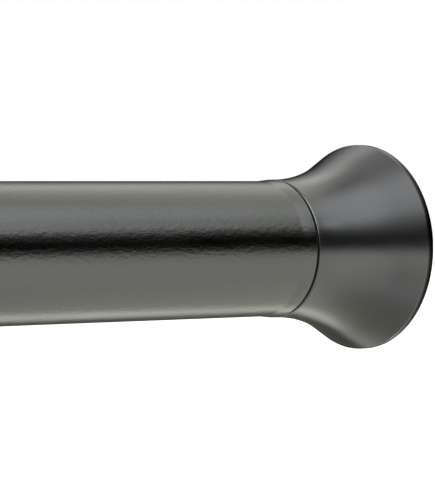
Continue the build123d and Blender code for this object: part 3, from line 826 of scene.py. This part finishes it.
class ROD_OT_shaft(bpy.types.Operator):
    """Turn the drive shaft with its threads, clip grooves, shoulder and hexagon"""

    bl_idname = "rod.shaft"
    bl_label = "Drive shaft"

    def thread(self, bm, start, end, radius, depth, pitch):
        """A left-handed ridge round the axis between two stations, let a little into its core."""
        root, top, sink = pitch * 0.62, pitch * 0.3, depth * 0.25
        points = [
            (start, radius - depth - sink),
            (start, radius - depth),
            (start + (root - top) / 2, radius),
            (start + (root + top) / 2, radius),
            (start + root, radius - depth),
            (start + root, radius - depth - sink),
        ]
        turns = (end - start - root) / pitch
        per_turn = 48
        steps = round(turns * per_turn)
        face = bmesh.ops.contextual_create(bm, geom=closed_wire(bm, points, 0))["faces"]
        bmesh.ops.spin(
            bm,
            geom=face,
            cent=(0, 0, 0),
            axis=(1, 0, 0),
            dvec=(-pitch * turns / steps, 0, 0),
            angle=2 * pi * turns,
            steps=steps,
        )

    def hexagon(self, bm, start, end, across_flats):
        """A six-sided bar between two stations, with one flat on top."""
        made = bmesh.ops.create_circle(bm, segments=6, radius=across_flats / 2 / cos(pi / 6), cap_ends=True)
        bmesh.ops.transform(bm, verts=made["verts"], matrix=Matrix.Rotation(pi / 2, 4, "Y"))
        bmesh.ops.translate(bm, verts=made["verts"], vec=(-start, 0, 0))
        face = made["verts"][0].link_faces[0]
        far = bmesh.ops.extrude_face_region(bm, geom=[face], use_keep_orig=True)["geom"]
        far = [item for item in far if isinstance(item, bmesh.types.BMVert)]
        bmesh.ops.translate(bm, verts=far, vec=(start - end, 0, 0))

    def execute(self, context):
        sizes = context.scene.rod_sizes
        crest, root = sizes.thread_radius, sizes.thread_radius - sizes.thread_depth
        groove = sizes.clip_groove
        tip, end = -SHAFT_HIGH.x, -SHAFT_LOW.x
        tip_groove = -CLIPS_HIGH.x - sizes.seat_gap
        base_groove = -CLIPS_LOW.x - sizes.clip_thickness - sizes.seat_gap
        groove_width = sizes.clip_thickness + 2 * sizes.seat_gap
        shoulder = -WASHER_LOW.x
        hexagon, tail = shoulder + sizes.shoulder_length, -PISTON_HIGH.x
        chamfer = 0.0008
        thread_start, thread_end = tip_groove + groove_width, base_groove
        front = [
            (tip, 0),
            (tip, crest - chamfer),
            (tip + chamfer, crest),
            (tip_groove, crest),
            (tip_groove, groove),
            (thread_start, groove),
            (thread_start, root),
            (thread_end, root),
            (thread_end, groove),
            (thread_end + groove_width, groove),
            (thread_end + groove_width, crest),
            (shoulder, crest),
            (shoulder, sizes.shoulder_radius),
            (hexagon, sizes.shoulder_radius),
            (hexagon, 0),
        ]
        tail_root = sizes.tail_radius - sizes.tail_depth
        nut_face = -NUT_HIGH.x
        back = [(tail, 0), (tail, sizes.tail_radius), (nut_face, sizes.tail_radius), (nut_face, tail_root)]
        back += [(end, tail_root), (end, 0)]
        bm = bmesh.new()
        turn_profile(bm, outline(front, {12: sizes.lip_round, 13: sizes.lip_round}), 0, sizes.segments // 2)
        turn_profile(bm, back, 0, sizes.segments // 2)
        self.thread(bm, thread_start, thread_end, crest, sizes.thread_depth, sizes.thread_pitch)
        self.thread(bm, nut_face, end, sizes.tail_radius, sizes.tail_depth, sizes.tail_pitch)
        self.hexagon(bm, hexagon, tail, sizes.shaft_flats)
        steel = bright_steel("bare_steel", context.scene.rod_finish.steel_colour, roughness=0.3)
        dress(finished("drive_shaft_threaded", bm), "shaft", "drive_shaft", steel)
        return {"FINISHED"}


class ROD_OT_mechanism(bpy.types.Operator):
    """Finish the plugs, screws and lock inside the tubes"""

    bl_idname = "rod.mechanism"
    bl_label = "Plugs and lock"

    def execute(self, context):
        finish = context.scene.rod_finish
        black = moulded("plug_plastic", finish.black_plastic_and_seam_shade, roughness=0.55, shine=0.3)
        pale = moulded("lock_plastic", finish.lock_plastic, roughness=0.46)
        steel = bpy.data.materials["bare_steel"]
        groups = (
            (black, ("fixed_plug", "moving_plug", "wedge_nut")),
            (pale, ("expander_sleeve", "glide_bush", "spring_seat", "spring_piston")),
            (steel, ("thrust_washer", "shaft_clips", "piston_nut", "fixed_screw", "moving_screw")),
        )
        for material, nodes in groups:
            for node in nodes:
                mesh = frame["nodes"][node].data
                mesh.materials.clear()
                mesh.materials.append(material)
        return {"FINISHED"}


class ROD_OT_studio(bpy.types.Operator):
    """Set up the floor, the pale surroundings, the lights and the camera"""

    bl_idname = "rod.studio"
    bl_label = "Studio"

    def patchwork(self, tree, direction, base, patches):
        """The colour of one part of the surroundings: a base and soft patches on it, never under zero."""
        total = base
        for patch in patches:
            turn, rise = radians(patch.azimuth), radians(patch.elevation)
            towards = (sin(turn) * cos(rise), -cos(turn) * cos(rise), sin(rise))
            edges = cos(radians(patch.reach)), cos(radians(patch.core))
            spot = tree.spread(tree.vector("DOT_PRODUCT", direction, towards), *edges, soft=True)
            total = tree.vector("ADD", total, tree.vector("SCALE", patch.light, spot))
        return tree.vector("MAXIMUM", total, (0, 0, 0))

    def surroundings(self, studio):
        """Pale surroundings with a dark belt just above the horizon, and white where the camera looks."""
        world = bpy.data.worlds.new("studio")
        bpy.context.scene.world = world
        tree = Tree(world)
        tree.nodes.clear()
        direction = tree.add("TexCoord").outputs["Generated"]
        height = tree.add("SeparateXYZ", Vector=direction).outputs["Z"]
        total = self.patchwork(tree, direction, (0, 0, 0), AROUND)
        for base, patches, middle, fade, ends in (
            (studio.above_colour, ABOVE, studio.belt_high, studio.high_fade, (0, 1)),
            (studio.below_colour, BELOW, studio.belt_low, studio.low_fade, (1, 0)),
        ):
            side = tree.spread(height, middle - fade, middle + fade, *ends, soft=True)
            light = self.patchwork(tree, direction, base, patches)
            total = tree.vector("ADD", total, tree.vector("SCALE", light, side))
        lit = tree.add("Background", Color=total)
        white = tree.add("Background", Color=(1, 1, 1, 1))
        choose = tree.add("MixShader", Fac=tree.add("LightPath").outputs["Is Camera Ray"])
        tree.links.new(lit.outputs["Background"], choose.inputs[1])
        tree.links.new(white.outputs["Background"], choose.inputs[2])
        tree.add("OutputWorld", Surface=choose.outputs["Shader"])

    def floor(self, studio):
        """A pale floor that shows white to the camera apart from the rod's soft shadow."""
        bm = bmesh.new()
        bmesh.ops.create_grid(bm, x_segments=1, y_segments=1, size=studio.floor_size / 2)
        bmesh.ops.translate(bm, verts=bm.verts, vec=(MOVING_WALL / 2, 0, -studio.floor_drop))
        mesh = bpy.data.meshes.new("floor")
        bm.to_mesh(mesh)
        bm.free()
        floor = bpy.data.objects.new("floor", mesh)
        bpy.context.scene.collection.objects.link(floor)
        material = bpy.data.materials.new("floor_paper")
        tree = Tree(material)
        tree.nodes.clear()
        paper = tree.add("BsdfDiffuse", Color=(*studio.floor_colour, 1))
        to_camera = tree.add("LightPath").outputs["Is Camera Ray"]
        glow = tree.add("Emission", Strength=tree.spread(to_camera, 0, 1, to_high=studio.floor_glow))
        total = tree.add("AddShader")
        tree.links.new(paper.outputs["BSDF"], total.inputs[0])
        tree.links.new(glow.outputs["Emission"], total.inputs[1])
        tree.add("OutputMaterial", Surface=total.outputs["Shader"])
        mesh.materials.append(material)
        floor.visible_glossy = False

    def lights(self, studio):
        """One large soft key light above, which leaves no streak in the paint."""
        data = bpy.data.lights.new("key", "AREA")
        data.shape = "DISK"
        data.size = studio.key_size
        data.energy = studio.key_power
        key = bpy.data.objects.new("key", data)
        bpy.context.scene.collection.objects.link(key)
        middle = Vector((MOVING_WALL / 2, 0, 0))
        key.location = middle + Vector(studio.key_place)
        key.rotation_euler = (middle - key.location).to_track_quat("-Z", "Y").to_euler()
        key.visible_glossy = False

    def camera(self, studio):
        """The camera of the reference view."""
        data = bpy.data.cameras.new("camera")
        data.lens = studio.lens
        data.clip_start = 0.01
        camera = bpy.data.objects.new("camera", data)
        camera.location = studio.camera_place
        camera.rotation_euler = (pi / 2 - studio.camera_dip, 0, -studio.camera_turn)
        bpy.context.scene.collection.objects.link(camera)
        bpy.context.scene.camera = camera

    def execute(self, context):
        studio = context.scene.rod_studio
        context.scene.view_settings.view_transform = "Standard"
        self.surroundings(studio)
        self.floor(studio)
        self.lights(studio)
        self.camera(studio)
        return {"FINISHED"}


STEPS = ("tubes", "caps", "pads", "collar", "spring", "shaft", "mechanism", "studio")


class ROD_PT_panel(bpy.types.Panel):
    """Lists the steps that dress the rod"""

    bl_idname = "ROD_PT_panel"
    bl_label = "Tension Rod"
    bl_space_type = "VIEW_3D"
    bl_region_type = "UI"
    bl_category = "Tension Rod"

    def draw(self, context):
        for step in STEPS:
            self.layout.operator("rod." + step)


CLASSES = (
    RodSizes, RodFinish, RodStudio, ROD_OT_tubes, ROD_OT_caps, ROD_OT_pads, ROD_OT_collar, ROD_OT_spring,
    ROD_OT_shaft, ROD_OT_mechanism, ROD_OT_studio, ROD_PT_panel,
)


def register():
    """Registers the classes and hangs their settings on the scene."""
    for each in CLASSES:
        bpy.utils.register_class(each)
    bpy.types.Scene.rod_sizes = PointerProperty(type=RodSizes)
    bpy.types.Scene.rod_finish = PointerProperty(type=RodFinish)
    bpy.types.Scene.rod_studio = PointerProperty(type=RodStudio)


def unregister():
    """Takes the settings and the classes away again."""
    del bpy.types.Scene.rod_studio
    del bpy.types.Scene.rod_finish
    del bpy.types.Scene.rod_sizes
    for each in reversed(CLASSES):
        bpy.utils.unregister_class(each)


def main():
    register()
    for step in STEPS:
        getattr(bpy.ops.rod, step)()


if __name__ == "__main__":
    main()
